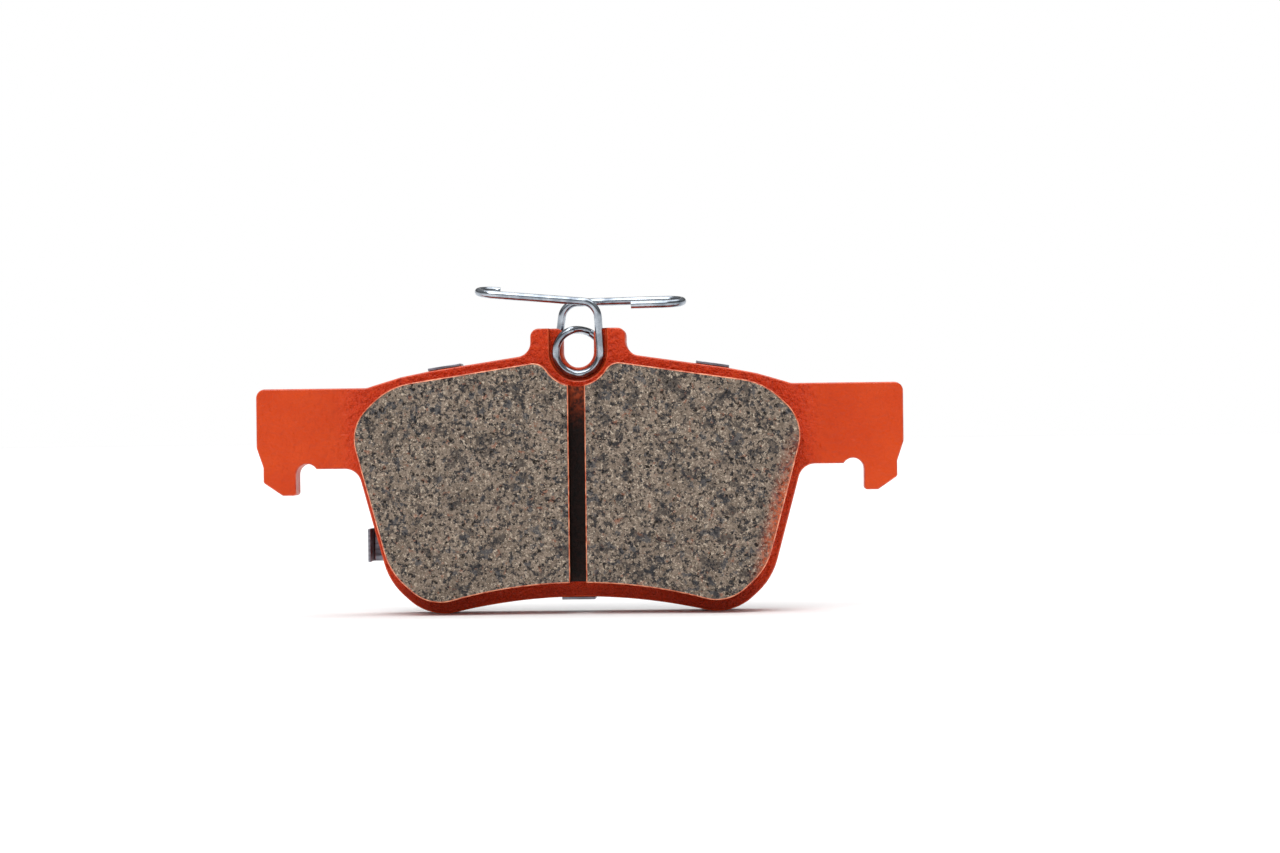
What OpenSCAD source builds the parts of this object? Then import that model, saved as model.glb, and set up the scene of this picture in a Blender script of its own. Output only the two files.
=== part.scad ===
// Rear disc-brake pad: a steel backing plate with hooked ears, a bonded friction
// block, a rubber-coated steel shim behind and a wire pad spring in the top notch.
// X runs along the pad, Z is up and -Y faces the disc. The origin is on the shim's
// rear face, where the piston presses. All sizes are in millimetres.

/* [Backing plate] */
// Overall width over the two ears
plate_w = 122.8; // [100:0.1:150]
// Thickness of the steel
plate_t = 6.5; // [4:0.1:8]
// Height of the top edge's line at the middle
crown_z = 24.2; // [20:0.1:30]
// Height of the bottom arch at the middle
arch_z = -23.1; // [-30:0.1:-19]
// Radius of the bottom arch
arch_r = 105; // [80:1:140]
// Radius of the two bottom lobes
lobe_r = 10; // [7:0.5:12]
// Height of the ears' underside, which rides on the carrier
ear_z = 1.6; // [-2:0.1:5]
// Height of an ear
ear_h = 15.3; // [11:0.1:18]
// Width of a hook at an ear's end
hook_w = 7.5; // [5:0.1:10]
// Drop of a hook below the ear's underside
hook_drop = 5; // [3:0.1:7]
// Width of the carrier rail's gap, at the ear's underside
rail_gap = 11.7; // [8:0.1:15]

/* [Spring seat] */
// Width of the top tab
tab_w = 18.1; // [15:0.1:24]
// Height of the tab over the crown line
tab_h = 3.6; // [2:0.1:6]
// Width of the notch through the tab
notch_w = 5.9; // [4.5:0.1:7]
// Depth of the coil's centre below the tab's top
coil_drop = 4.5; // [3.5:0.1:6]
// Depth of the recess that holds the coil
pocket_t = 1.5; // [1:0.1:2.5]
// Play between the coil and the walls beside it
coil_play = 0.5; // [0.3:0.1:1]
// Play between the coil and the faces that it grips
grip_play = 0.15; // [0.1:0.05:0.3]

/* [Friction block] */
// Thickness of the friction block
block_t = 7.3; // [4:0.1:14]
// Thickness of the underlayer
underlayer_t = 1.2; // [0.8:0.1:2.5]
// Margin from the plate's top edge
block_top = 1.9; // [1:0.1:4]
// Margin from the plate's sides
block_side = 1.6; // [1:0.1:4]
// Margin from the arch, at the middle
block_foot = 3; // [1.5:0.1:5]
// Radius of the block's bottom arch
block_arch_r = 90; // [75:1:140]
// Clearance round the coil
coil_room = 1.6; // [1:0.1:3]
// Width of the centre slot
slot_w = 3; // [2:0.1:5]
// Material left under the centre slot
slot_floor = 1.3; // [0.8:0.1:3]
// Diameter of the retention holes
key_d = 8; // [5:0.1:12]

/* [Shim] */
// Thickness of the steel core
core_t = 0.5; // [0.3:0.1:1]
// Thickness of each rubber coat
coat_t = 0.15; // [0.1:0.05:0.3]
// Margin of the shim from the plate's edges
shim_margin = 1.2; // [0.8:0.1:3]
// Width of a locating tab
shim_tab_w = 6.3; // [4:0.1:9]
// How far the locating tabs stop short of the plate's front face
shim_tab_short = 0.3; // [0:0.1:2]
// Gap between the side tab and the plate, at the tab's upper end
side_tab_gap = 0.7; // [0.3:0.1:2]

/* [Spring] */
// Diameter of the wire
wire_d = 1.5; // [1:0.1:2]
// Mean radius of the coil
coil_r = 4.24; // [3.7:0.01:5]
// Height of the arms over the coil's centre
arm_h = 9.6; // [7:0.1:13]
// Reach of each arm from the middle to its loop's tip
arm_reach = 20.2; // [16:0.1:26]
// Inward lean of the legs, in degrees
leg_lean = 5.5; // [0:0.5:10]
// Rise of the arms towards their tips, in degrees
arm_rise = 3; // [0:0.5:6]
// Rocking of the spring in its seat, in degrees
spring_rock = 2; // [-3:0.5:3]
// Radius of the bend between a leg and its arm
knee_r = 3.2; // [2:0.1:4]
// Radius of the loop at an arm's end
loop_r = 3.3; // [2.5:0.1:4.5]
// Tilt of both loops towards the piston side, in degrees
loop_tilt = 8.5; // [0:0.5:15]
// Wire that runs back from the front arm's loop
front_return = 0.6; // [0.2:0.1:8]
// Wire that runs back from the rear arm's loop
rear_return = 6.4; // [0.2:0.1:8]

/* [Hidden] */
$fn = 48;
eps = 0.01;
cut = 1;                                   // how far a cutter runs past the solid
arc_step = 6;                              // degrees between points on a corner
wire_step = 9;                             // degrees between rings where the wire bends
wire_sides = 12;

// Depths, from the shim's rear face towards the disc
shim_t = core_t + 2 * coat_t;
plate_back = -shim_t;
plate_front = plate_back - plate_t;
underlayer_front = plate_front - underlayer_t;
block_front = underlayer_front - block_t;

// Plate outline
ear_x = plate_w / 2;
ear_top = ear_z + ear_h;
ear_corner_r = 1.7;
ear_cut = [1.25, 4.1];                     // how the ear's end narrows towards the hook
hook_cut = [3.65, 2.5];                    // chamfer at the hook's outer corner
hook_corner_r = 0.6;
hook_x = ear_x - hook_w;
relief_r = 2.1;                            // relief at the hook's root
relief_rise = 1;                           // and its height over the ear's underside
side_lean = 0.27;                          // how the body's sides lean, X per Z
side_top_x = hook_x - rail_gap;
root_r = 3.2;
foot_up = 3.1;                             // the foot's corner, over the arch's middle
foot_r = 13;
lobe_in = 10.5;                            // from the foot's corner to the lobe's centre
lobe_end = -48;                            // where the lobe's arc ends, in degrees
crown_fall = 0.15;                         // slope of the top edge, Z per X
shoulder_in = 8.3;                         // the shoulder, in from the body's side
shoulder_r = 60;
shoulder_foot_in = 2;
shoulder_foot_r = 3;
tab_x = tab_w / 2;
tab_z = crown_z + tab_h;
tab_root_r = 2.7;
tab_corner_r = 1.6;
notch_r = notch_w / 2;
mouth_r = 1.2;

// Spring seat
coil_z = tab_z - coil_drop;
wire_r = wire_d / 2;
coil_out = coil_r + wire_r;
pocket_r = coil_out + coil_play;
front_wire_y = plate_front + pocket_t - grip_play - wire_r;
rear_wire_y = plate_back + grip_play + wire_r;
mid_wire_y = (front_wire_y + rear_wire_y) / 2;

// Friction block outline
block_lobe_r = 8;
block_cut_r = coil_out + coil_room;
block_corner_z = 9.6;
block_corner_r = 8;
block_brow_in = 7;                         // where the top edge starts to turn down
block_brow_r = 13;
block_nose_r = 3;                          // round beside the coil's cut-out
keys = [for (x = [-1, 1], z = [-1, 1]) [x * (side_top_x - 20), z * 9 - 1]];

// Shim outline and tabs
shim_lobe_r = 9;
shim_arch_r = 98;
shim_cut_r = coil_out + coil_play + 1;
shim_corner_in = 3;
top_tab_x = side_top_x - 16.8;
bottom_tab_x = -0.4;
side_tab_z = -13;
seat_gap = 0.04;                           // so that a tab only just clears the edge

// Crossing of the wire through the notch
cross_start = 104;                         // where the ring leaves its plane, in degrees
cross_r = -coil_r / tan(cross_start);      // so that the bend runs into the ring

// ---- geometry helpers -------------------------------------------------------

function unit(v) = v / norm(v);
function turn(v) = [-v[1], v[0]];

// Points of an arc, without repeating its end
function arc(c, r, a0, a1) =
    let (n = max(2, ceil(abs(a1 - a0) / arc_step)))
    [for (i = [0:n]) c + r * [cos(a0 + (a1 - a0) * i / n), sin(a0 + (a1 - a0) * i / n)]];

// Rounds the corner at b, on the way from a to c, with radius r
function corner(a, b, c, r) =
    let (u = unit(a - b), v = unit(c - b),
         half = acos(u * v) / 2,
         o = b + unit(u + v) * r / sin(half),
         t0 = b + u * r / tan(half) - o,
         t1 = b + v * r / tan(half) - o,
         a0 = atan2(t0[1], t0[0]),
         swing = atan2(t1[1], t1[0]) - a0)
    arc(o, r, a0, a0 + (swing > 180 ? swing - 360 : swing < -180 ? swing + 360 : swing));

// A run of [x, z, r] corners: the first and last points stay sharp
function rounded(p) = [
    for (i = [0:len(p) - 1])
        let (b = [p[i][0], p[i][1]])
        each (p[i][2] == 0 ? [b]
            : corner([p[i - 1][0], p[i - 1][1]], b, [p[i + 1][0], p[i + 1][1]], p[i][2]))];

function mirrored(p) = [for (i = [len(p) - 1:-1:0]) if (abs(p[i][0]) > eps) [-p[i][0], p[i][1]]];

function side_x(z, inset) = side_top_x - inset + side_lean * (z - ear_z);
function top_z(x, inset) = crown_z - inset - crown_fall * x;
function foot_z() = arch_z + foot_up;

// The bottom arch and its lobe, which touch: from the middle out to the lobe's end
function foot_curve(mid_z, r_arch, x_lobe, r_lobe) =
    let (c = [0, mid_z - r_arch],
         lobe = c + [x_lobe, sqrt(pow(r_arch + r_lobe, 2) - x_lobe * x_lobe)],
         tip = atan2(lobe[1] - c[1], lobe[0]))
    concat(arch(c, r_arch, tip), arc(lobe, r_lobe, tip + 180 - 360, lobe_end));
function arch(c, r, tip) =
    [for (i = [0:12]) let (a = 90 + (tip - 90) * i / 13) c + r * [cos(a), sin(a)]];

// Where the lobe's end tangent meets the side line that is inset from the plate's
function foot_corner(end, inset) =
    let (d = [-sin(lobe_end), cos(lobe_end)],
         t = (side_x(end[1], inset) - end[0]) / (d[0] - side_lean * d[1]))
    end + d * t;

// Right half of the plate, from the middle of the arch to the middle of the notch
function plate_half() =
    let (x_lobe = side_x(foot_z(), 0) - lobe_in,
         foot = foot_curve(arch_z, arch_r, x_lobe, lobe_r),
         end = foot[len(foot) - 1],
         shoulder_x = side_top_x - shoulder_in,
         relief = [hook_x - relief_r, ear_z + relief_rise - relief_r],
         dip = sqrt(relief_r * relief_r - pow(relief_r - relief_rise, 2)),
         hook_z = ear_z - hook_drop)
    concat(
        foot,
        rounded([
            [end[0], end[1], 0],
            concat(foot_corner(end, 0), [foot_r]),
            [side_top_x, ear_z, root_r],
            [relief[0] - dip, ear_z, 0]]),
        arc(relief, relief_r, atan2(relief_r - relief_rise, -dip), 0),
        rounded([
            [hook_x, relief[1], 0],
            [hook_x, hook_z, hook_corner_r],
            [ear_x - ear_cut[0] - hook_cut[0], hook_z, hook_corner_r],
            [ear_x - ear_cut[0], hook_z + hook_cut[1], hook_corner_r],
            [ear_x - ear_cut[0], ear_z + ear_corner_r / 4, 1],
            [ear_x, ear_z + ear_cut[1], 1],
            [ear_x, ear_top, ear_corner_r],
            [side_top_x - shoulder_foot_in, ear_top, shoulder_foot_r],
            [shoulder_x, top_z(shoulder_x, 0), shoulder_r],
            [tab_x, top_z(tab_x, 0), tab_root_r],
            [tab_x, tab_z, tab_corner_r],
            [notch_r, tab_z, mouth_r],
            [notch_r, coil_z, 0]]),
        arc([0, coil_z], notch_r, -arc_step, -90));

// Right half of a layer inside the plate's outline, cut round the coil
function layer_half(mid_z, r_arch, r_lobe, side, top, cut_r, corner_z, corner_r, brow_r) =
    let (x_lobe = side_x(foot_z(), 0) - lobe_in,
         foot = foot_curve(mid_z, r_arch, x_lobe, r_lobe),
         end = foot[len(foot) - 1],
         brow_x = side_top_x - block_brow_in,
         m = crown_fall,
         k = crown_z - top - block_nose_r * sqrt(1 + m * m) - coil_z,
         reach = cut_r + block_nose_r,
         nose_x = (m * k + sqrt(m * m * k * k - (1 + m * m) * (k * k - reach * reach))) / (1 + m * m),
         nose = [nose_x, coil_z + k - m * nose_x],
         meet = atan2(nose[1] - coil_z, nose[0]))
    concat(
        foot,
        rounded([
            [end[0], end[1], 0],
            concat(foot_corner(end, side), [foot_r]),
            [side_x(corner_z, side), corner_z, corner_r],
            [brow_x, top_z(brow_x, top), brow_r],
            [nose[0] + 1, top_z(nose[0] + 1, top), 0]]),
        arc(nose, block_nose_r, 90 - atan(m), meet + 180),
        arc([0, coil_z], cut_r, meet, -90));

module whole(half) polygon(concat(half, mirrored(half)));

// Stands an XZ outline up, with its front at y and its thickness t towards +Y
module slab(y, t) translate([0, y + t, 0]) rotate([90, 0, 0]) linear_extrude(t) children();

module rod_y(p, y, t, d) translate([p[0], y + t, p[1]]) rotate([90, 0, 0]) cylinder(d = d, h = t);

// ---- plate and lining ---------------------------------------------------------

module backing_plate() {
    color("#d2532b")
    difference() {
        slab(plate_front, plate_t) whole(plate_half());
        for (p = keys) rod_y(p, plate_front - cut, plate_t + 2 * cut, key_d);
        coil_pocket();
    }
}

// The recess for the coil and its two legs, open upwards
module coil_pocket() {
    rod_y([0, coil_z], plate_front - cut, pocket_t + cut, 2 * pocket_r);
    translate([-pocket_r, plate_front - cut, coil_z])
        cube([2 * pocket_r, pocket_t + cut, coil_drop + cut]);
}

function block_half() = layer_half(arch_z + block_foot, block_arch_r, block_lobe_r, block_side,
    block_top, block_cut_r, block_corner_z, block_corner_r, block_brow_r);

module underlayer() {
    color("#8a5a45") {
        slab(underlayer_front, underlayer_t) whole(block_half());
        for (p = keys) rod_y(p, plate_front - eps, plate_t + eps, key_d);
    }
}

module friction_block() {
    color("#7d7064")
    difference() {
        slab(block_front, block_t) whole(block_half());
        translate([-slot_w / 2, block_front - cut, arch_z - cut])
            cube([slot_w, block_t - slot_floor + cut, crown_z - arch_z + 2 * cut]);
    }
}

// ---- shim -------------------------------------------------------------------------

function shim_half() = layer_half(arch_z + shim_margin, shim_arch_r, shim_lobe_r, shim_margin,
    shim_margin, shim_cut_r, ear_top - shim_corner_in, block_corner_r / 2, block_brow_r);

module shim_coat(y) color("#2b2b2d") slab(y, coat_t) whole(shim_half());
module shim_coat_inner() shim_coat(plate_back);
module shim_coat_outer() shim_coat(-coat_t);

module shim_core() {
    tip = [side_tab_z + shim_tab_w / 2, side_tab_z - shim_tab_w / 2];
    wall = side_x(tip[0], 0) + side_tab_gap;
    color("#8d8d94") {
        slab(-coat_t - core_t, core_t) whole(shim_half());
        for (s = [-1, 1])
            locating_tab([s * top_tab_x, top_z(top_tab_x, 0)], -s * atan(crown_fall), 0);
        locating_tab([bottom_tab_x, arch_z], 180, 0);
        locating_tab([-wall, side_tab_z], 90, wall - side_x(side_tab_z, 0));
    }
}

// A strip that rises over the plate's edge at p and folds forward along it. The edge's
// outward side is at `turned` degrees from +Z, and `off` lengthens the rising part.
module locating_tab(p, turned, off) {
    rise = shim_margin + off + 1.5;
    reach = plate_t + coat_t - shim_tab_short;
    bend = core_t + 0.3;
    translate([p[0], 0, p[1]]) rotate([0, -turned, 0]) translate([-shim_tab_w / 2, 0, 0])
        rotate([90, 0, 90]) linear_extrude(shim_tab_w)
            translate([-coat_t, seat_gap + core_t]) polygon(concat(
                [[0, -rise], [-core_t, -rise], [-core_t, -bend]],
                arc([-bend, -bend], bend - core_t, 0, 90),
                [[-core_t - reach, -core_t], [-core_t - reach, 0]],
                arc([-bend, -bend], bend, 90, 0)));
}

// ---- spring -------------------------------------------------------------------------

// Points of the bend at b, on the way from a to c, with radius r
function bend(a, b, c, r) =
    let (u = unit(a - b), v = unit(c - b),
         half = acos(u * v) / 2,
         o = b + unit(u + v) * r / sin(half),
         e1 = unit(b + u * r / tan(half) - o),
         turn = 180 - 2 * half,
         n = ceil(turn / wire_step))
    [for (i = [0:n]) o + r * (cos(turn * i / n) * e1 - sin(turn * i / n) * u)];

// Centreline through the corners p, each rounded with its radius in r
function bent(p, r) = [
    for (i = [0:len(p) - 1])
        each (r[i] == 0 ? [p[i]] : bend(p[i - 1], p[i], p[i + 1], r[i]))];

function apart(p) = [for (i = [0:len(p) - 1]) if (i == 0 || norm(p[i] - p[i - 1]) > eps) p[i]];

// A solid wire along the centreline p, swept with a frame that never twists
module wire(p) {
    last = len(p) - 1;
    t = [for (i = [0:last]) unit(p[min(i + 1, last)] - p[max(i - 1, 0)])];
    n = [for (i = 0, n = unit(cross(t[0], [1, 0.2, 0.1])); i <= last;
              i = i + 1, n = i > last ? n : unit(n - t[i] * (n * t[i]))) n];
    points = [for (i = [0:last], j = [0:wire_sides - 1])
        let (a = 360 * j / wire_sides) p[i] + wire_r * (cos(a) * n[i] + sin(a) * cross(t[i], n[i]))];
    side = [for (i = [0:last - 1], j = [0:wire_sides - 1])
        let (k = (j + 1) % wire_sides, a = i * wire_sides, b = a + wire_sides)
        each [[a + j, b + j, b + k], [a + j, b + k, a + k]]];
    polyhedron(points, concat(side,
        [[for (j = [0:wire_sides - 1]) j]],
        [[for (j = [wire_sides - 1:-1:0]) last * wire_sides + j]]));
}

// Centreline of one half of the spring, about the coil's centre, with its ring in the
// plane y = 0 and the middle of the crossing at y = mid. Its loop rises by `tilt` degrees
// as it turns away, and `back` is the wire that runs back after it.
function spring_line(mid, tilt, back) =
    let (top = [0, 0, coil_r / sin(cross_start)],
         ring_end = 360 + leg_lean,
         steps = ceil((ring_end - cross_start) / wire_step),
         ring = [for (i = [0:steps]) let (a = cross_start + (ring_end - cross_start) * i / steps)
             coil_r * [cos(a), 0, sin(a)]],
         leg = ring[steps],
         up = [-sin(leg_lean), 0, cos(leg_lean)],
         out = [-cos(arm_rise), 0, sin(arm_rise)],
         // the knee is where the leg's line meets the arm's, which passes (0, arm_h)
         to_knee = (arm_h - leg[0] * tan(arm_rise) - leg[2]) / (up[2] + up[0] * tan(arm_rise)),
         knee = leg + up * to_knee,
         tip = knee + out * (arm_reach + knee[0] - wire_r) / cos(arm_rise),
         aside = [sin(arm_rise) * sin(tilt), cos(tilt), cos(arm_rise) * sin(tilt)],
         far = tip + aside * 2 * loop_r)
    apart(concat(
        bent([[0, mid, top[2]], top, ring[0]], [0, cross_r, 0]),
        ring,
        bent([leg, knee, tip, far, far - out * (loop_r + back)], [0, knee_r, loop_r, loop_r, 0])));

module spring_front_arm() {
    color("#b9bcc0")
    translate([0, front_wire_y, coil_z]) rotate([0, spring_rock, 0])
        wire(spring_line(mid_wire_y - front_wire_y, loop_tilt, front_return));
}

module spring_rear_arm() {
    color("#b9bcc0")
    translate([0, rear_wire_y, coil_z]) rotate([0, spring_rock, 0]) rotate([0, 0, 180])
        wire(spring_line(rear_wire_y - mid_wire_y, -loop_tilt, rear_return));
}

backing_plate();
underlayer();
friction_block();
shim_coat_inner();
shim_core();
shim_coat_outer();
spring_front_arm();
spring_rear_arm();
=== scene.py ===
"""Looks of a disc brake pad: coated plate, ground lining, coated shim and bright wire spring."""
import logging
import math
from dataclasses import dataclass, field
from enum import Enum, IntEnum
from typing import Any, Optional, Sequence

import bmesh
import bpy
from mathutils import Matrix, Vector


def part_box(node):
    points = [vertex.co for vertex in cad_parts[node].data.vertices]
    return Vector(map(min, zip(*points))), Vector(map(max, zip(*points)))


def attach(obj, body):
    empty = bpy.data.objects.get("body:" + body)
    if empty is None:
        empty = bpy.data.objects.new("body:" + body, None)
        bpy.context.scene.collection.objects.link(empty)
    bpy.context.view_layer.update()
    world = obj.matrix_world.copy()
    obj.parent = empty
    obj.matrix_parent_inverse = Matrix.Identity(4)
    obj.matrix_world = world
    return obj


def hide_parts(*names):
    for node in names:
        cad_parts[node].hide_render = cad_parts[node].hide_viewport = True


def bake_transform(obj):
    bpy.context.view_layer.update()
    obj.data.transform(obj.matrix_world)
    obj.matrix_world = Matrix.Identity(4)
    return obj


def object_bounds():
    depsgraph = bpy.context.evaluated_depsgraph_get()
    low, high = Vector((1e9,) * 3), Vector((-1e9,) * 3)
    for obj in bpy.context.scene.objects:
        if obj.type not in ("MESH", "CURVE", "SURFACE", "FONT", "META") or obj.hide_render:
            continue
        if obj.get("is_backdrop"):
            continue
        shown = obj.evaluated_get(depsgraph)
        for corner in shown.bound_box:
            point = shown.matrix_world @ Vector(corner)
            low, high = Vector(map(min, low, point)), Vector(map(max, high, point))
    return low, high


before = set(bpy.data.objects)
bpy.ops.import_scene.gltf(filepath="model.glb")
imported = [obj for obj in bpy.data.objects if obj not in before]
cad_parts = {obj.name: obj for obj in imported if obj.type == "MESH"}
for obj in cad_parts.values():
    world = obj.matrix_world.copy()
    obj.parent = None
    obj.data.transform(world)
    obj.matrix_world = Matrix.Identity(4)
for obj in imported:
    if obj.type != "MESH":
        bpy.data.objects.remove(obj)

LOG = logging.getLogger("brake_pad")
MM = 0.001
RIGHT_ANGLE = math.radians(90)
MERGE_MM = 0.002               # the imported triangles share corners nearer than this
ON_FACE_MM = 0.01              # a corner this near a plane lies on it
FLAT_DEGREES = 0.5             # faces that meet at less are one face
CORNER_DEGREES = 40            # edges sharper than this get rounded
FOLD_DEGREES = 60              # the same, on folded sheet and cut wire


class Body(str, Enum):
    """The bodies that the pieces ride on; nothing is put on the arms' bodies."""

    PAD = "pad"
    FRONT_ARM = "front_arm"
    REAR_ARM = "rear_arm"


class Finish(str, Enum):
    """The record's material slots."""

    PLATE = "plate_coating"
    FRICTION = "friction"
    STEEL = "shim_steel"
    WIRE = "spring_wire"


class PlateSlot(IntEnum):
    """Where the plate's materials sit in its mesh."""

    COAT = 0
    EDGE = 1


class BlockSlot(IntEnum):
    """Where the friction block's materials sit in its mesh."""

    FACE = 0
    SIDE = 1
    RIM = 2
    SLOT = 3


# ---- colours and nodes --------------------------------------------------------------


def linear(hex_colour: str) -> tuple[float, float, float, float]:
    """Turn an sRGB hex colour into a linear one.

    Args:
        hex_colour: six hex digits, such as "d2532b".

    Returns:
        Red, green, blue and alpha, for a shader socket.
    """
    parts = [int(hex_colour[i:i + 2], 16) / 255 for i in (0, 2, 4)]
    red, green, blue = [c / 12.92 if c <= 0.04045 else ((c + 0.055) / 1.055) ** 2.4 for c in parts]
    return red, green, blue, 1.0


def add_node(tree: bpy.types.NodeTree, kind: str, inputs: Optional[dict[Any, Any]] = None,
             **settings: Any) -> bpy.types.Node:
    """Add one node with its settings, and set or link its inputs.

    Args:
        tree: the node tree.
        kind: the node's type, such as "ShaderNodeTexNoise".
        inputs: input name or index to a value, or to a socket to link from.
        **settings: the node's own properties.

    Returns:
        The new node.
    """
    node = tree.nodes.new(kind)
    for name, value in settings.items():
        setattr(node, name, value)
    for key, value in (inputs or {}).items():
        if isinstance(value, bpy.types.NodeSocket):
            tree.links.new(value, node.inputs[key])
        else:
            node.inputs[key].default_value = value
    return node


def ramp(tree: bpy.types.NodeTree, factor: bpy.types.NodeSocket,
         stops: Sequence[tuple[float, Any]]) -> bpy.types.NodeSocket:
    """Map a value to colours or greys through a colour ramp.

    Args:
        tree: the node tree.
        factor: the value to map.
        stops: pairs of position and linear colour, or position and grey level.

    Returns:
        The ramp's colour socket.
    """
    node = add_node(tree, "ShaderNodeValToRGB", {"Fac": factor})
    elements = node.color_ramp.elements
    while len(elements) < len(stops):
        elements.new(0.5)
    for element, (position, colour) in zip(elements, stops):
        element.position = position
        element.color = colour if isinstance(colour, tuple) else (colour, colour, colour, 1)
    return node.outputs["Color"]


def mix(tree: bpy.types.NodeTree, factor: Any, first: Any, second: Any,
        blend: str = "MIX") -> bpy.types.NodeSocket:
    """Mix two colours.

    Args:
        tree: the node tree.
        factor: share of the second colour.
        first: the first colour.
        second: the second colour.
        blend: Blender's name for how they mix.

    Returns:
        The mixed colour's socket.
    """
    node = add_node(tree, "ShaderNodeMix", {0: factor, 6: first, 7: second},
                    data_type="RGBA", blend_type=blend)
    return node.outputs[2]


def maths(tree: bpy.types.NodeTree, operation: str, first: Any, second: Any = 0.0,
          clamp: bool = False) -> bpy.types.NodeSocket:
    """Combine two numbers, each a socket or a value.

    Args:
        tree: the node tree.
        operation: Blender's name for the sum.
        first: the first number.
        second: the second number.
        clamp: keep the result between 0 and 1.

    Returns:
        The result's socket.
    """
    return add_node(tree, "ShaderNodeMath", {0: first, 1: second}, operation=operation,
                    use_clamp=clamp).outputs[0]


class Paint:
    """A material under construction: its tree, its shader and where its patterns are read."""

    def __init__(self, name: str, roughness: float, metallic: float = 0.0, ior: float = 1.5,
                 specular: float = 0.5) -> None:
        """Start a material with one Principled shader.

        Args:
            name: the material's name.
            roughness: the shader's roughness.
            metallic: 1 for bare metal.
            ior: index of refraction; a metal keeps the default.
            specular: the shader's specular level.
        """
        self.material = bpy.data.materials.new(name)
        self.material.use_nodes = True
        self.tree = self.material.node_tree
        self.shader = self.tree.nodes["Principled BSDF"]
        self.shader.inputs["Roughness"].default_value = roughness
        self.shader.inputs["Metallic"].default_value = metallic
        self.shader.inputs["IOR"].default_value = ior
        self.shader.inputs["Specular IOR Level"].default_value = specular
        self.place = add_node(self.tree, "ShaderNodeTexCoord").outputs["Object"]

    def grain(self, size_mm: float, detail: float = 2.0, roughness: float = 0.5,
              at: Optional[bpy.types.NodeSocket] = None) -> bpy.types.NodeSocket:
        """Noise whose features are about size_mm wide.

        Args:
            size_mm: the width of a feature, in millimetres.
            detail: octaves of finer noise.
            roughness: how strong the finer octaves are.
            at: where it is read, or None for Object coordinates.

        Returns:
            The noise value's socket.
        """
        return add_node(self.tree, "ShaderNodeTexNoise",
                        {"Vector": at or self.place, "Scale": 1 / (size_mm * MM),
                         "Detail": detail, "Roughness": roughness}).outputs["Fac"]

    def along(self, axis: str) -> bpy.types.NodeSocket:
        """Give one Object coordinate, in metres.

        Args:
            axis: "X", "Y" or "Z".

        Returns:
            The coordinate's socket.
        """
        return add_node(self.tree, "ShaderNodeSeparateXYZ", {0: self.place}).outputs[axis]

    def fade(self, value: bpy.types.NodeSocket, start_mm: float, end_mm: float) -> bpy.types.NodeSocket:
        """Rise smoothly from 0 to 1 between two places.

        Args:
            value: a coordinate, in metres.
            start_mm: where it is 0, in millimetres.
            end_mm: where it is 1.

        Returns:
            The share's socket.
        """
        return add_node(self.tree, "ShaderNodeMapRange",
                        {0: value, 1: start_mm * MM, 2: end_mm * MM, 3: 0.0, 4: 1.0},
                        interpolation_type="SMOOTHSTEP").outputs[0]

    def warped(self, size_mm: float, amount_mm: float) -> bpy.types.NodeSocket:
        """Give Object coordinates shaken by noise, so that cells get ragged edges.

        Args:
            size_mm: the width of the shake.
            amount_mm: how far it moves a point.

        Returns:
            The vector's socket.
        """
        shake = add_node(self.tree, "ShaderNodeTexNoise",
                         {"Vector": self.place, "Scale": 1 / (size_mm * MM),
                          "Detail": 3.0}).outputs["Color"]
        centred = add_node(self.tree, "ShaderNodeVectorMath",
                           {0: shake, 1: (0.5, 0.5, 0.5)}, operation="SUBTRACT").outputs[0]
        moved = add_node(self.tree, "ShaderNodeVectorMath",
                         {0: centred, "Scale": amount_mm * MM}, operation="SCALE").outputs[0]
        return add_node(self.tree, "ShaderNodeVectorMath", {0: self.place, 1: moved},
                        operation="ADD").outputs[0]

    def patches(self, size_mm: float, level: float) -> bpy.types.NodeSocket:
        """Ragged patches: 1 where noise is above a level and 0 elsewhere.

        Args:
            size_mm: the width of a patch.
            level: the noise level at a patch's edge; 0.5 covers half.

        Returns:
            The mask's socket.
        """
        wide = self.grain(size_mm, detail=4, roughness=0.65, at=self.shifted(size_mm))
        return ramp(self.tree, wide, [(level - 0.015, 0.0), (level + 0.015, 1.0)])

    def shifted(self, size_mm: float) -> bpy.types.NodeSocket:
        """Give Object coordinates moved by many widths, so that two patterns don't coincide."""
        return add_node(self.tree, "ShaderNodeMapping",
                        {"Vector": self.place, "Location": (size_mm, 2 * size_mm, 3 * size_mm)}).outputs[0]

    def scatter(self, size_mm: float, reach: float, share: float,
                at: Optional[bpy.types.NodeSocket] = None) -> bpy.types.NodeSocket:
        """Scatter separate grains: 1 inside a grain and 0 outside.

        Args:
            size_mm: the spacing of the grains.
            reach: a grain's radius as a share of the spacing.
            share: share of the cells that hold a grain.
            at: where it is read, or None for Object coordinates.

        Returns:
            The mask's socket.
        """
        inside = ramp(self.tree, self.cells(size_mm, at=at), [(reach * 0.7, 1.0), (reach, 0.0)])
        seed = self.cells(size_mm, output="Color", at=at)
        edge = 1 - share
        chosen = ramp(self.tree, seed, [(max(edge - 0.03, 0), 0.0), (min(edge + 0.03, 1), 1.0)])
        return maths(self.tree, "MULTIPLY", inside, chosen)

    def cells(self, size_mm: float, feature: str = "F1", output: str = "Distance",
              at: Optional[bpy.types.NodeSocket] = None) -> bpy.types.NodeSocket:
        """Cells about size_mm wide.

        Args:
            size_mm: the width of a cell, in millimetres.
            feature: Blender's name for what is measured.
            output: the socket to read.
            at: where it is read, or None for Object coordinates.

        Returns:
            The chosen socket.
        """
        return add_node(self.tree, "ShaderNodeTexVoronoi",
                        {"Vector": at or self.place, "Scale": 1 / (size_mm * MM)},
                        feature=feature).outputs[output]

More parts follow.
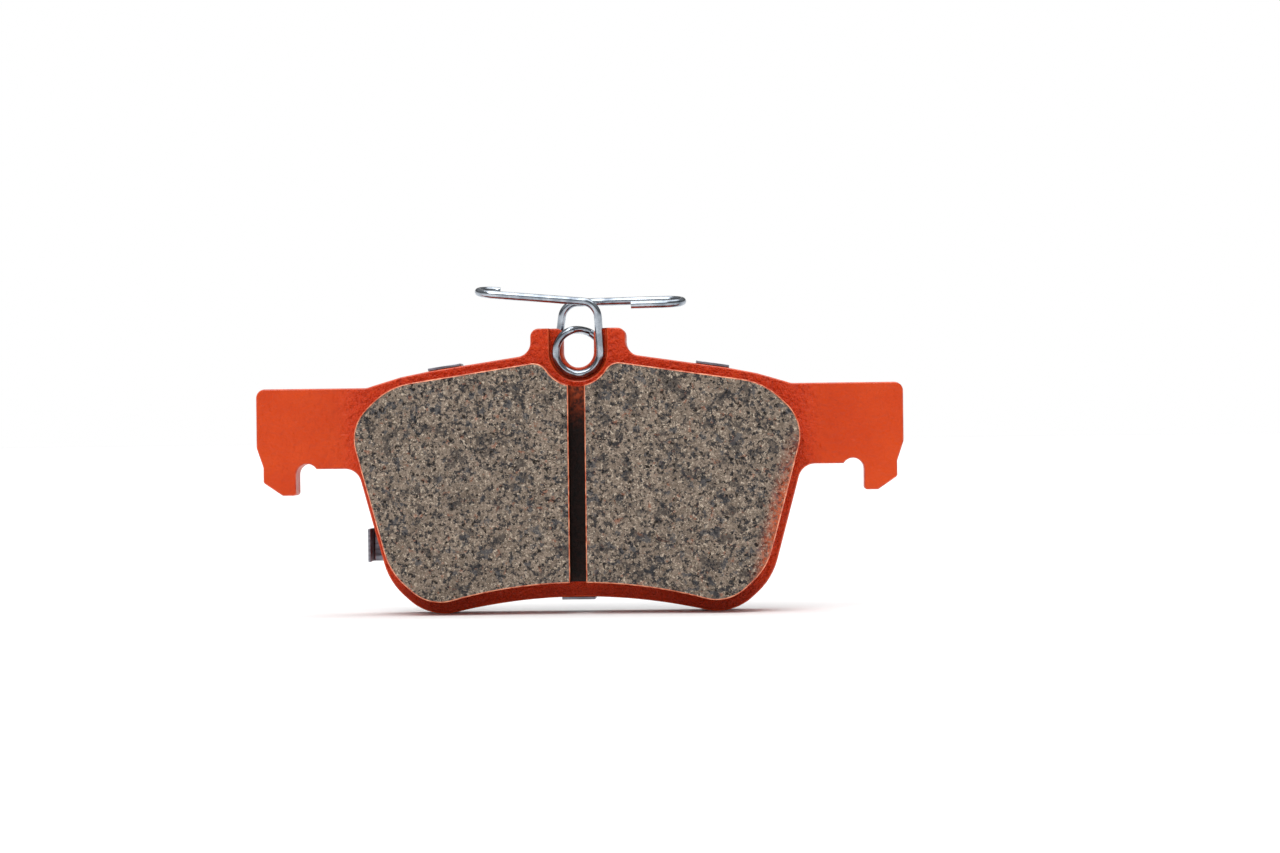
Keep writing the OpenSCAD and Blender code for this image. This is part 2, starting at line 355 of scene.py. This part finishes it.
    def colour(self, value: Any) -> None:
        """Set or link the base colour."""
        if isinstance(value, bpy.types.NodeSocket):
            self.tree.links.new(value, self.shader.inputs["Base Color"])
        else:
            self.shader.inputs["Base Color"].default_value = value

    def rough(self, value: bpy.types.NodeSocket) -> None:
        """Link the roughness to a pattern."""
        self.tree.links.new(value, self.shader.inputs["Roughness"])

    def bump(self, height: bpy.types.NodeSocket, depth_mm: float, strength: float = 1.0,
             under: Optional[bpy.types.NodeSocket] = None) -> bpy.types.NodeSocket:
        """Raise the surface by a pattern, and use it on the shader.

        Args:
            height: the pattern, from 0 to 1.
            depth_mm: how deep it is, in millimetres.
            strength: share of the effect.
            under: the normal of a coarser bump that this one rides on.

        Returns:
            The bump's normal socket.
        """
        inputs = {"Height": height, "Distance": depth_mm * MM, "Strength": strength}
        if under is not None:
            inputs["Normal"] = under
        normal = add_node(self.tree, "ShaderNodeBump", inputs).outputs["Normal"]
        self.tree.links.new(normal, self.shader.inputs["Normal"])
        return normal


# ---- finishes ------------------------------------------------------------------------


@dataclass(frozen=True)
class OrangePowderCoat:
    """Epoxy-polyester powder sprayed on blanked steel and baked: on the ears an even orange
    skin with fine orange peel, which gives the eye small soft glints; round the lining a
    deeper, grittier coat, with painted shade in its hollows and painted glints on its tops,
    which gives it a sandy sparkle; and along the bottom of the plate a darker colour, which
    is painted shade under the lining's overhang."""

    name: str = "orange_powder_coat"
    ear: str = "c13a08"
    # the lighter ear colour: a random tone on the ears, and painted glints on the grit's tops round the
    # lining
    ear_light_and_grit_glint: str = "ca430f"
    margin: str = "d23c12"
    # painted shade in the grit's hollows round the lining
    pit_shade: str = "b02d0b"
    # painted shade: the darker colour of the bottom band, under the lining's overhang
    arch_shade_colour: str = "9c280d"
    ear_from_mm: float = 41.0
    ear_to_mm: float = 47.0
    # heights between which the painted shade along the bottom of the plate fades out
    arch_shade_from_mm: float = -22.5
    arch_shade_to_mm: float = -18.5
    peel_mm: float = 1.1
    peel_depth_mm: float = 0.11
    grit_mm: float = 0.7
    grit_depth_mm: float = 0.28
    gloss: float = 0.36

    def build(self) -> bpy.types.Material:
        """Build the material.

        Returns:
            The finished material.
        """
        paint = Paint(self.name, roughness=self.gloss, specular=0.22)
        tree = paint.tree
        across = maths(tree, "ABSOLUTE", paint.along("X"))
        on_ear = paint.fade(across, self.ear_from_mm, self.ear_to_mm)
        above_arch_shade = paint.fade(paint.along("Z"), self.arch_shade_from_mm, self.arch_shade_to_mm)
        clouds = ramp(tree, paint.grain(9, detail=3), [(0.35, 0.0), (0.7, 1.0)])
        smooth = mix(tree, clouds, linear(self.ear), linear(self.ear_light_and_grit_glint))
        grains = paint.grain(self.grit_mm, detail=3, roughness=0.6)
        # painted shade and painted glints: the grit's hollows take the darker colour and its tops the
        # lighter one, following its bump
        sandy = mix(tree, ramp(tree, grains, [(0.3, 0.0), (0.5, 1.0)]),
                    linear(self.pit_shade), linear(self.margin))
        sandy = mix(tree, ramp(tree, grains, [(0.6, 0.0), (0.72, 1.0)]), sandy, linear(self.ear_light_and_grit_glint))
        # painted shade: below the fade, the coat round the lining turns towards the darker colour
        sandy = mix(tree, maths(tree, "MULTIPLY", maths(tree, "SUBTRACT", 1.0, above_arch_shade), 0.75),
                    sandy, linear(self.arch_shade_colour))
        paint.colour(mix(tree, on_ear, sandy, smooth))
        waves = ramp(tree, paint.grain(self.peel_mm, detail=1), [(0.35, 0.0), (0.65, 1.0)])
        peel = paint.bump(waves, self.peel_depth_mm, 1.0)
        gritty = maths(tree, "MULTIPLY", ramp(tree, grains, [(0.35, 0.0), (0.65, 1.0)]),
                       maths(tree, "SUBTRACT", 1.15, on_ear))
        paint.bump(gritty, self.grit_depth_mm, 0.9, peel)
        paint.rough(ramp(tree, paint.grain(2.2), [(0.3, self.gloss - 0.05), (0.7, self.gloss + 0.1)]))
        return paint.material


@dataclass(frozen=True)
class CoatedEdge:
    """The same powder over a rounded edge: a little glossier where it thins, and brighter in
    patches as a painted highlight of the edge catching the light, which gives the eye a fine
    light line round each outline."""

    name: str = "coated_edge_painted_highlight"
    # the brighter colour is a painted highlight of the rounded edge catching the light
    painted_highlight: str = "d4501f"
    full: str = "bd3a10"

    def build(self) -> bpy.types.Material:
        """Build the material.

        Returns:
            The finished material.
        """
        paint = Paint(self.name, roughness=0.33, specular=0.5)
        tree = paint.tree
        # painted highlight: noise patches of the edge faces take the brighter colour
        highlight_patches = paint.grain(1.6, detail=4, roughness=0.6)
        paint.colour(mix(tree, ramp(tree, highlight_patches, [(0.4, 0.0), (0.62, 1.0)]),
                         linear(self.full), linear(self.painted_highlight)))
        paint.bump(paint.grain(0.9, detail=2), 0.18, 0.9)
        return paint.material


@dataclass(frozen=True)
class OversprayedLining:
    """Moulded lining whose side was caught by the spray: a rough, patchy orange crust over
    dark grains, which gives the eye a broken, dull surface."""

    name: str = "oversprayed_lining"
    coat: str = "c2401c"
    shade: str = "6e1f0e"
    grain_colour: str = "3a2419"
    spray_and_light_from_mm: float = 90.0
    spray: str = "a8431c"

    def build(self) -> bpy.types.Material:
        """Build the material.

        Returns:
            The finished material.
        """
        paint = Paint(self.name, roughness=0.62, specular=0.3)
        tree = paint.tree
        lumps = paint.grain(1.1, detail=4, roughness=0.7)
        tone = mix(tree, ramp(tree, lumps, [(0.38, 0.0), (0.62, 1.0)]),
                   linear(self.shade), linear(self.coat))
        bare = ramp(tree, paint.cells(1.3), [(0.1, 1.0), (0.22, 0.0)])
        tone = mix(tree, maths(tree, "MULTIPLY", bare, 0.7), tone, linear(self.grain_colour))
        # higher up, patches take the spray colour: overspray, and on the slot's wall also painted light on
        # its lit top end
        high = paint.fade(paint.along("Z"), self.spray_and_light_from_mm, self.spray_and_light_from_mm + 8)
        patchy = maths(tree, "MULTIPLY", high, ramp(tree, lumps, [(0.4, 0.15), (0.6, 1.0)]))
        paint.colour(mix(tree, patchy, tone, linear(self.spray)))
        coarse = paint.bump(lumps, 0.35, 0.9)
        paint.bump(paint.grain(0.4, detail=3), 0.12, 0.7, coarse)
        return paint.material


@dataclass(frozen=True)
class GroundFriction:
    """Resin-bonded friction mix, ground flat: taupe binder with dark graphite and coke
    grains, pale mineral grains and open pores, which gives the eye a dull speckle, and an
    orange dust of overspray along one side."""

    name: str = "ground_friction"
    binder: str = "9a8a7b"
    binder_dark: str = "564b41"
    coke: str = "110d0a"
    graphite: str = "25262a"
    slate: str = "42454a"
    mineral: str = "c4b5a2"
    rust: str = "8d4a30"
    spray: str = "b8532e"
    wall_lean: float = math.radians(13.8)
    dust_from_mm: float = 35.3
    dust_to_mm: float = 39.5

    def build(self) -> bpy.types.Material:
        """Build the material.

        Returns:
            The finished material.
        """
        paint = Paint(self.name, roughness=0.85, specular=0.2)
        tree = paint.tree
        ragged = paint.warped(0.8, 0.9)
        fine = paint.grain(0.42, detail=6, roughness=0.85)
        tone = mix(tree, ramp(tree, fine, [(0.4, 0.0), (0.6, 1.0)]),
                   linear(self.binder_dark), linear(self.binder))
        clouds = ramp(tree, paint.grain(5, detail=5, roughness=0.7), [(0.42, 0.0), (0.66, 1.0)])
        tone = mix(tree, maths(tree, "MULTIPLY", clouds, 0.4), tone, linear(self.binder_dark))
        layers = (
            (paint.patches(0.42, 0.6), self.mineral, 0.85),
            (paint.scatter(1.6, 0.3, 0.16, ragged), self.mineral, 0.55),
            (paint.patches(1.3, 0.63), self.rust, 0.5),
            (paint.patches(1.9, 0.6), self.slate, 0.75),
            (paint.patches(0.7, 0.56), self.graphite, 0.9),
            (paint.patches(2.4, 0.575), self.graphite, 0.6),
        )
        for mask, colour, strength in layers:
            tone = mix(tree, maths(tree, "MULTIPLY", mask, strength), tone, linear(colour))
        pores = maths(tree, "MAXIMUM", paint.scatter(1.15, 0.42, 0.2, ragged), paint.patches(1.05, 0.62))
        tone = mix(tree, maths(tree, "MULTIPLY", pores, 0.9), tone, linear(self.coke))
        out = maths(tree, "SUBTRACT", maths(tree, "MULTIPLY", paint.along("X"), math.cos(self.wall_lean)),
                    maths(tree, "MULTIPLY", paint.along("Z"), math.sin(self.wall_lean)))
        dust = maths(tree, "MULTIPLY", paint.fade(out, self.dust_from_mm, self.dust_to_mm),
                     maths(tree, "SUBTRACT", 1.0, paint.fade(paint.along("Z"), -8, 12)))
        broken = ramp(tree, paint.grain(0.5, detail=4, roughness=0.7), [(0.4, 0.0), (0.6, 1.0)])
        tone = mix(tree, maths(tree, "MULTIPLY", dust, maths(tree, "ADD", broken, 0.25), clamp=True),
                   tone, linear(self.spray))
        paint.colour(tone)
        solid = maths(tree, "SUBTRACT", 1.0, pores)
        coarse = paint.bump(solid, 0.22, 0.9)
        paint.bump(paint.grain(0.3, detail=4, roughness=0.75), 0.07, 0.8, coarse)
        return paint.material


@dataclass(frozen=True)
class ZincPlatedWire:
    """Spring steel wire with bright zinc: a clear mirror along the wire, a little blue, with
    darker blotches that are painted dark reflections, and faint drawing lines that break the glint."""

    name: str = "zinc_plated_wire"
    zinc: str = "b4bbc3"
    shade: str = "68707a"

    def build(self) -> bpy.types.Material:
        """Build the material.

        Returns:
            The finished material.
        """
        paint = Paint(self.name, roughness=0.14, metallic=1.0)
        tree = paint.tree
        # painted reflection: noise blotches of the darker shade colour stand in for dark reflections along
        # the wire
        paint.colour(mix(tree, ramp(tree, paint.grain(2.5, detail=3), [(0.3, 0.0), (0.7, 1.0)]),
                         linear(self.shade), linear(self.zinc)))
        paint.rough(ramp(tree, paint.grain(1.2, detail=3), [(0.3, 0.10), (0.75, 0.26)]))
        paint.bump(paint.grain(0.6, detail=2), 0.01, 0.5)
        return paint.material


@dataclass(frozen=True)
class ShearedSheetSteel:
    """Cold-rolled sheet, sheared and folded: a satin grey with a grain along the roll and
    darker, rougher scuffs, which gives the eye a soft streaked sheen."""

    name: str = "sheared_sheet_steel"
    steel: str = "8e8e97"
    scuff: str = "5c5a62"

    def build(self) -> bpy.types.Material:
        """Build the material.

        Returns:
            The finished material.
        """
        paint = Paint(self.name, roughness=0.4, metallic=1.0)
        tree = paint.tree
        streaks = add_node(tree, "ShaderNodeMapping", {"Vector": paint.place, "Scale": (0.12, 1, 1)})
        lines = paint.grain(0.5, detail=4, at=streaks.outputs[0])
        paint.colour(mix(tree, ramp(tree, lines, [(0.4, 0.0), (0.7, 1.0)]),
                         linear(self.steel), linear(self.scuff)))
        paint.rough(ramp(tree, lines, [(0.3, 0.32), (0.7, 0.55)]))
        paint.bump(lines, 0.015, 0.5)
        return paint.material


@dataclass(frozen=True)
class BondedRubberCoat:
    """Thin nitrile rubber baked on the shim: near-black and matt with a very fine leather
    texture, which gives the eye a soft grey sheen at a low angle."""

    name: str = "bonded_rubber_coat"
    fresh: str = "232325"
    chalky: str = "343437"

    def build(self) -> bpy.types.Material:
        """Build the material.

        Returns:
            The finished material.
        """
        paint = Paint(self.name, roughness=0.6, ior=1.52, specular=0.4)
        tree = paint.tree
        paint.colour(mix(tree, ramp(tree, paint.grain(12, detail=4), [(0.35, 0.0), (0.7, 1.0)]),
                         linear(self.fresh), linear(self.chalky)))
        paint.rough(ramp(tree, paint.grain(5, detail=3), [(0.3, 0.52), (0.7, 0.68)]))
        fine = paint.bump(paint.cells(0.6), 0.08, 0.8)
        paint.bump(paint.grain(3, detail=2), 0.03, 0.3, fine)
        return paint.material


# ---- mesh helpers ----------------------------------------------------------------------


def put_in_scene(name: str, mesh: bpy.types.Mesh) -> bpy.types.Object:
    """Link a mesh into the scene as a new object at the origin.

    Args:
        name: the object's name.
        mesh: its mesh.

    Returns:
        The object.
    """
    thing = bpy.data.objects.new(name, mesh)
    bpy.context.scene.collection.objects.link(thing)
    return thing


def merged_copy(node: str) -> bmesh.types.BMesh:
    """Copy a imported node's surface as a clean bmesh, with flat areas as single faces.

    Args:
        node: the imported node's name.

    Returns:
        The bmesh, which the caller frees.
    """
    work = bmesh.new()
    work.from_mesh(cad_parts[node].data)
    bmesh.ops.remove_doubles(work, verts=work.verts, dist=MERGE_MM * MM)
    bmesh.ops.dissolve_limit(work, angle_limit=math.radians(FLAT_DEGREES),
                             verts=work.verts, edges=work.edges)
    return work


def sharp_edges(work: bmesh.types.BMesh, over_degrees: float) -> list[bmesh.types.BMEdge]:
    """List the edges where two faces meet at more than an angle."""
    limit = math.radians(over_degrees)
    return [e for e in work.edges if len(e.link_faces) == 2 and e.calc_face_angle(0) > limit]


def edges_on(edges: list[bmesh.types.BMEdge], depth: float) -> list[bmesh.types.BMEdge]:
    """List the edges that lie in the plane y = depth, in metres."""
    return [e for e in edges if all(abs(v.co.y - depth) < ON_FACE_MM * MM for v in e.verts)]


def round_edges(work: bmesh.types.BMesh, edges: list[bmesh.types.BMEdge], width_mm: float,
                segments: int) -> None:
    """Round edges off.

    Args:
        work: the bmesh.
        edges: the edges to round.
        width_mm: the width of the round, in millimetres.
        segments: steps across it.
    """
    bmesh.ops.bevel(work, geom=edges, offset=width_mm * MM, offset_type="OFFSET",
                    segments=segments, profile=0.5, affect="EDGES", material=-1,
                    clamp_overlap=True)


def finish_mesh(work: bmesh.types.BMesh, name: str, smooth_under: float = 50) -> bpy.types.Object:
    """Turn a bmesh into a smooth-shaded object with even shading on its flats.

    Args:
        work: the bmesh, which is freed.
        name: the object's name.
        smooth_under: edges flatter than this, in degrees, are shaded smooth.

    Returns:
        The object.
    """
    for face in work.faces:
        face.smooth = True
    for edge in work.edges:
        bent = len(edge.link_faces) == 2 and edge.calc_face_angle(0) > math.radians(smooth_under)
        edge.smooth = not bent
    mesh = bpy.data.meshes.new(name)
    work.to_mesh(mesh)
    work.free()
    thing = put_in_scene(name, mesh)
    weights = thing.modifiers.new("flat_shading", "WEIGHTED_NORMAL")
    weights.keep_sharp = True
    return thing


# ---- pieces ------------------------------------------------------------------------------


@dataclass
class BackingPlate:
    """The blanked steel plate with its powder coat: rolled edges in front, where the punch
    went in, and tight ones behind."""

    front_round_mm: float = 0.75
    rear_round_mm: float = 0.3
    least_slant: float = 0.15
    most_slant: float = 0.97
    coat: OrangePowderCoat = field(default_factory=OrangePowderCoat)
    edge: CoatedEdge = field(default_factory=CoatedEdge)

    def build(self) -> list[bpy.types.Object]:
        """Build the plate with rounded edges.

        Returns:
            The pieces made.
        """
        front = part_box("backing_plate")[0][1]
        work = merged_copy("backing_plate")
        edges = sharp_edges(work, CORNER_DEGREES)
        rolled = edges_on(edges, front)
        tight = [e for e in edges if e not in rolled]
        round_edges(work, rolled, self.front_round_mm, 4)
        tight = [e for e in tight if e.is_valid]
        round_edges(work, tight, self.rear_round_mm, 2)
        # the rounded edge faces take the edge coat, whose brighter colour is a painted highlight
        for face in work.faces:
            slanted = self.least_slant < abs(face.normal.y) < self.most_slant
            face.material_index = PlateSlot.EDGE if slanted else PlateSlot.COAT
        plate = finish_mesh(work, "plate_blank")
        plate.data.materials.append(self.coat.build())
        plate.data.materials.append(self.edge.build())
        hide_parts("backing_plate")
        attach(plate, Body.PAD.value)
        return [plate]


@dataclass
class Lining:
    """The friction block and the underlayer beneath it."""

    rim_mm: float = 0.2
    slot_half_mm: float = 1.6
    flat: float = 0.97
    upright: float = 0.2
    face: GroundFriction = field(default_factory=GroundFriction)
    side: OversprayedLining = field(default_factory=OversprayedLining)
    # the orange coat on the ground face's rounded rim, with a pale painted highlight of the rim catching
    # the light
    rim: CoatedEdge = field(default_factory=lambda: CoatedEdge(
        name="coated_rim_painted_highlight", painted_highlight="ee9a74", full="b8471f"))
    # painted shade: the slot's walls are near-black because the deep slot lies in shade; from 8 mm up they
    # turn orange, partly overspray and partly painted light on the slot's lit top end
    slot: OversprayedLining = field(default_factory=lambda: OversprayedLining(
        name="slot_wall_painted_shade", coat="2c120a", shade="120805", grain_colour="080504", spray_and_light_from_mm=8.0))

    def build(self) -> list[bpy.types.Object]:
        """Build the block with its ground face, its sprayed sides and its bright rim.

        Returns:
            The pieces made.
        """
        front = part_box("friction_block")[0][1]
        work = merged_copy("friction_block")
        round_edges(work, edges_on(sharp_edges(work, CORNER_DEGREES), front), self.rim_mm, 3)
        for face in work.faces:
            middle = face.calc_center_median()
            if abs(middle.x) < self.slot_half_mm * MM and middle.y > front + self.rim_mm * MM:
                face.material_index = BlockSlot.SLOT
            elif face.normal.y < -self.flat:
                face.material_index = BlockSlot.FACE
            elif face.normal.y < -self.upright:
                face.material_index = BlockSlot.RIM
            else:
                face.material_index = BlockSlot.SIDE
        block = finish_mesh(work, "friction_slab")
        for finish in (self.face, self.side, self.rim, self.slot):
            block.data.materials.append(finish.build())
        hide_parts("friction_block")
        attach(block, Body.PAD.value)
        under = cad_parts["underlayer"]
        under.data.materials.clear()
        under.data.materials.append(self.side.build())
        return [block, under]


@dataclass
class Shim:
    """The steel shim with its locating tabs and its two rubber coats."""

    edge_round_mm: float = 0.1
    steel: ShearedSheetSteel = field(default_factory=ShearedSheetSteel)
    coat: BondedRubberCoat = field(default_factory=BondedRubberCoat)

    def build(self) -> list[bpy.types.Object]:
        """Build the core with eased edges, and dress the coats.

        Returns:
            The pieces made.
        """
        work = merged_copy("shim_core")
        round_edges(work, sharp_edges(work, FOLD_DEGREES), self.edge_round_mm, 2)
        core = finish_mesh(work, "shim_sheet")
        core.data.materials.append(self.steel.build())
        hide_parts("shim_core")
        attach(core, Body.PAD.value)
        rubber = self.coat.build()
        coats = [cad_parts[n] for n in ("shim_coat_inner", "shim_coat_outer")]
        for layer in coats:
            layer.data.materials.clear()
            layer.data.materials.append(rubber)
        return [core, *coats]


@dataclass
class PadSpring:
    """The wire spring: two arms on one coil, in the plate's notch. Sizes are in millimetres
    and angles in degrees; step is the angle between points along a curve."""

    wire_d: float = 1.5
    coil_r: float = 4.24
    coil_z: float = 23.3
    pocket_t: float = 1.5
    grip_play: float = 0.15
    arm_h: float = 9.6
    arm_reach: float = 20.2
    leg_lean: float = 5.5
    arm_rise: float = 3.0
    rock: float = 2.0
    knee_r: float = 3.2
    loop_r: float = 3.3
    loop_tilt: float = 8.5
    cross_start: float = 116.0
    front_return: float = 0.6
    rear_return: float = 6.4
    step: float = 3.0
    sides: int = 24
    end_chamfer: float = 0.12
    zinc: ZincPlatedWire = field(default_factory=ZincPlatedWire)

    def bend(self, before: Vector, at: Vector, after: Vector, radius: float) -> list[Vector]:
        """Points of a round bend.

        Args:
            before: the corner before.
            at: the corner that is rounded.
            after: the corner after.
            radius: the bend's radius.

        Returns:
            Points from one tangent point to the other.
        """
        u = (before - at).normalized()
        v = (after - at).normalized()
        half = u.angle(v) / 2
        centre = at + (u + v).normalized() * radius / math.sin(half)
        spoke = (at + u * radius / math.tan(half) - centre).normalized()
        turn = math.pi - 2 * half
        steps = math.ceil(math.degrees(turn) / self.step)
        return [centre + radius * (math.cos(turn * i / steps) * spoke - math.sin(turn * i / steps) * u)
                for i in range(steps + 1)]

    def line(self, mid: float, tilt: float, back: float) -> list[Vector]:
        """Centreline of one half, about the coil's centre, with its ring at y = 0.

        Args:
            mid: y of the middle of the crossing.
            tilt: how the loop rises as it turns away, in degrees.
            back: wire that runs back after the loop.

        Returns:
            The points, in millimetres.
        """
        start, lean, rise = (math.radians(a) for a in (self.cross_start, self.leg_lean, self.arm_rise))
        tip_tilt = math.radians(tilt)
        sweep = 2 * math.pi + lean - start
        steps = math.ceil(math.degrees(sweep) / self.step)
        ring = [self.coil_r * Vector((math.cos(start + sweep * i / steps), 0,
                                      math.sin(start + sweep * i / steps))) for i in range(steps + 1)]
        leg = ring[-1]
        up = Vector((-math.sin(lean), 0, math.cos(lean)))
        out = Vector((-math.cos(rise), 0, math.sin(rise)))
        to_knee = (self.arm_h - leg.x * math.tan(rise) - leg.z) / (up.z + up.x * math.tan(rise))
        knee = leg + up * to_knee
        tip = knee + out * (self.arm_reach + knee.x - self.wire_d / 2) / math.cos(rise)
        aside = Vector((math.sin(rise) * math.sin(tip_tilt), math.cos(tip_tilt),
                        math.cos(rise) * math.sin(tip_tilt)))
        far = tip + aside * 2 * self.loop_r
        end = far - out * (self.loop_r + back)
        steps = math.ceil(math.degrees(start - RIGHT_ANGLE) / self.step * 3)
        cross = []
        for i in range(steps):
            share = i / steps
            turn = RIGHT_ANGLE + (start - RIGHT_ANGLE) * share
            cross.append(Vector((self.coil_r * math.cos(turn), mid * (1 - math.sin(share * RIGHT_ANGLE)),
                                 self.coil_r * math.sin(turn))))
        points = [*cross, *ring, *self.bend(leg, knee, tip, self.knee_r),
                  *self.bend(knee, tip, far, self.loop_r), *self.bend(tip, far, end, self.loop_r), end]
        kept = [points[0]]
        for point in points[1:]:
            if (point - kept[-1]).length > 0.01:
                kept.append(point)
        return kept

    def sweep_wire(self, name: str, points: list[Vector]) -> bpy.types.Object:
        """Sweep the round wire along points, with a chamfered end at its tip.

        Args:
            name: the object's name.
            points: the centreline, in metres.

        Returns:
            The wire's object.
        """
        curve = bpy.data.curves.new(name, "CURVE")
        curve.dimensions = "3D"
        curve.bevel_depth = self.wire_d / 2 * MM
        curve.bevel_resolution = self.sides // 4
        curve.use_fill_caps = True
        curve.twist_mode = "MINIMUM"
        spline = curve.splines.new("POLY")
        spline.points.add(len(points) - 1)
        for slot, point in zip(spline.points, points):
            slot.co = (*point, 1)
        carrier = bpy.data.objects.new(name + "_line", curve)
        bpy.context.scene.collection.objects.link(carrier)
        bpy.context.view_layer.update()
        made = bpy.data.meshes.new_from_object(carrier.evaluated_get(bpy.context.evaluated_depsgraph_get()))
        bpy.data.objects.remove(carrier)
        work = bmesh.new()
        work.from_mesh(made)
        bpy.data.meshes.remove(made)
        bmesh.ops.remove_doubles(work, verts=work.verts, dist=0.001 * MM)
        bmesh.ops.recalc_face_normals(work, faces=work.faces)
        tail = points[-1]
        rim = [e for e in sharp_edges(work, FOLD_DEGREES)
               if (e.verts[0].co - tail).length < self.wire_d * MM]
        round_edges(work, rim, self.end_chamfer, 2)
        return finish_mesh(work, name, smooth_under=35)

    def place(self, points: list[Vector], y: float, half_turn: bool) -> list[Vector]:
        """Move a half's centreline to its seat, rocked as the spring sits.

        Args:
            points: the centreline about the coil's centre, in millimetres.
            y: the ring's plane.
            half_turn: True for the rear half, which is the front one turned about Z.

        Returns:
            The points, in metres.
        """
        turn = Matrix.Rotation(math.pi, 3, "Z") if half_turn else Matrix.Identity(3)
        rock = Matrix.Rotation(math.radians(self.rock), 3, "Y")
        return [(rock @ (turn @ p) + Vector((0, y, self.coil_z))) * MM for p in points]

    def build(self) -> list[bpy.types.Object]:
        """Build both halves of the wire, each blended from the pad at the crossing to its arm.

        Returns:
            The pieces made.
        """
        low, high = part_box("backing_plate")
        front = low[1] / MM + self.pocket_t - self.grip_play - self.wire_d / 2
        rear = high[1] / MM + self.grip_play + self.wire_d / 2
        middle = (front + rear) / 2
        plating = self.zinc.build()
        halves = [
            ("spring_wire_front", "spring_front_arm", Body.FRONT_ARM, front, False,
             self.line(middle - front, self.loop_tilt, self.front_return)),
            ("spring_wire_rear", "spring_rear_arm", Body.REAR_ARM, rear, True,
             self.line(rear - middle, -self.loop_tilt, self.rear_return)),
        ]
        made = []
        for name, node, body, y, half_turn, points in halves:
            wire = self.sweep_wire(name, self.place(points, y, half_turn))
            wire.data.materials.append(plating)
            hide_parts(node)
            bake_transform(wire)
            made.append(wire)
        return made


# ---- studio --------------------------------------------------------------------------------


@dataclass
class Studio:
    """A pale floor, a bright room and soft lights, with the camera level with the pad."""

    distance: float = 0.65
    aside: float = 0.0116
    height: float = 0.009
    yaw: float = 2.0
    roll: float = 0.68
    lens: float = 96.5
    sensor: float = 36.0
    floor_span: float = 14.0
    horizon: float = 1.0
    band: float = 0.06
    ceiling: float = 0.35
    low_glow: float = 0.16
    mid_glow: float = 0.3
    high_glow: float = 0.6

    def camera(self) -> bpy.types.Object:
        """Create the camera and make it the scene's.

        Returns:
            The camera.
        """
        yaw, roll = math.radians(self.yaw), math.radians(self.roll)
        across = Vector((math.cos(yaw), math.sin(yaw), 0))
        ahead = Vector((-math.sin(yaw), math.cos(yaw), 0))
        up = Vector((0, 0, 1))
        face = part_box("backing_plate")[0].y
        spot = across * self.aside - ahead * self.distance + Vector((0, face, self.height))
        right = across * math.cos(roll) - up * math.sin(roll)
        top = across * math.sin(roll) + up * math.cos(roll)
        data = bpy.data.cameras.new("camera")
        data.lens = self.lens
        data.sensor_width = self.sensor
        data.clip_end = self.floor_span * 2
        eye = bpy.data.objects.new("camera", data)
        bpy.context.scene.collection.objects.link(eye)
        eye.matrix_world = Matrix.Translation(spot) @ Matrix((right, top, -ahead)).transposed().to_4x4()
        bpy.context.scene.camera = eye
        return eye

    def floor(self) -> bpy.types.Object:
        """Lay the pale floor under the pad.

        Returns:
            The floor.
        """
        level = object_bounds()[0][2]
        work = bmesh.new()
        bmesh.ops.create_grid(work, x_segments=1, y_segments=1, size=self.floor_span / 2)
        bmesh.ops.translate(work, verts=work.verts, vec=(0, 0, level))
        mesh = bpy.data.meshes.new("floor")
        work.to_mesh(mesh)
        work.free()
        ground = put_in_scene("floor", mesh)
        paint = Paint("studio_floor", roughness=0.6, specular=0.2)
        paint.colour(linear("fbfbfb"))
        mesh.materials.append(paint.material)
        ground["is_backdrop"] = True
        return ground

    def sky(self, name: str, towards: tuple[float, float, float], spread: float, power: float) -> None:
        """Hang one broad, distant bank of light.

        Args:
            name: the light's name.
            towards: the direction in which it hangs.
            spread: how wide it looks, in degrees.
            power: its power per square metre.
        """
        data = bpy.data.lights.new(name, "SUN")
        data.energy = power
        data.angle = math.radians(spread)
        light = bpy.data.objects.new(name, data)
        bpy.context.scene.collection.objects.link(light)
        light.rotation_euler = Vector(towards).to_track_quat("Z", "Y").to_euler()

    def room(self) -> None:
        """Fill the room with light that is white up to just above the horizon, dark in a band higher up and
        grey overhead, and set the picture's tone.
        """
        world = bpy.data.worlds.new("white_room")
        world.use_nodes = True
        tree = world.node_tree
        direction = add_node(tree, "ShaderNodeTexCoord").outputs["Generated"]
        height = add_node(tree, "ShaderNodeSeparateXYZ", {0: direction}).outputs["Z"]
        bright = ramp(tree, height, [(self.low_glow, self.horizon), (self.mid_glow, self.band),
                                     (self.high_glow, self.ceiling)])
        tree.links.new(bright, tree.nodes["Background"].inputs["Color"])
        scene = bpy.context.scene
        scene.world = world
        scene.view_settings.view_transform = "Standard"
        scene.view_settings.look = "None"

    def build(self) -> None:
        """Set up the room, the floor, the lights and the camera."""
        self.room()
        self.floor()
        self.sky("front_bank", (-0.25, -0.75, 1.0), 40, 1.5)
        self.sky("top_bank", (0.1, 0.1, 1.0), 60, 2.2)
        self.camera()


def main() -> None:
    """Build every sub-assembly in order and report its pieces."""
    logging.basicConfig(level=logging.INFO, format="%(name)s: %(message)s")
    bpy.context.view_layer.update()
    for part in (BackingPlate(), Lining(), Shim(), PadSpring()):
        for piece in part.build():
            LOG.info("%s: %s, %d faces", type(part).__name__, piece.name, len(piece.data.polygons))
    Studio().build()


if __name__ == "__main__":
    main()
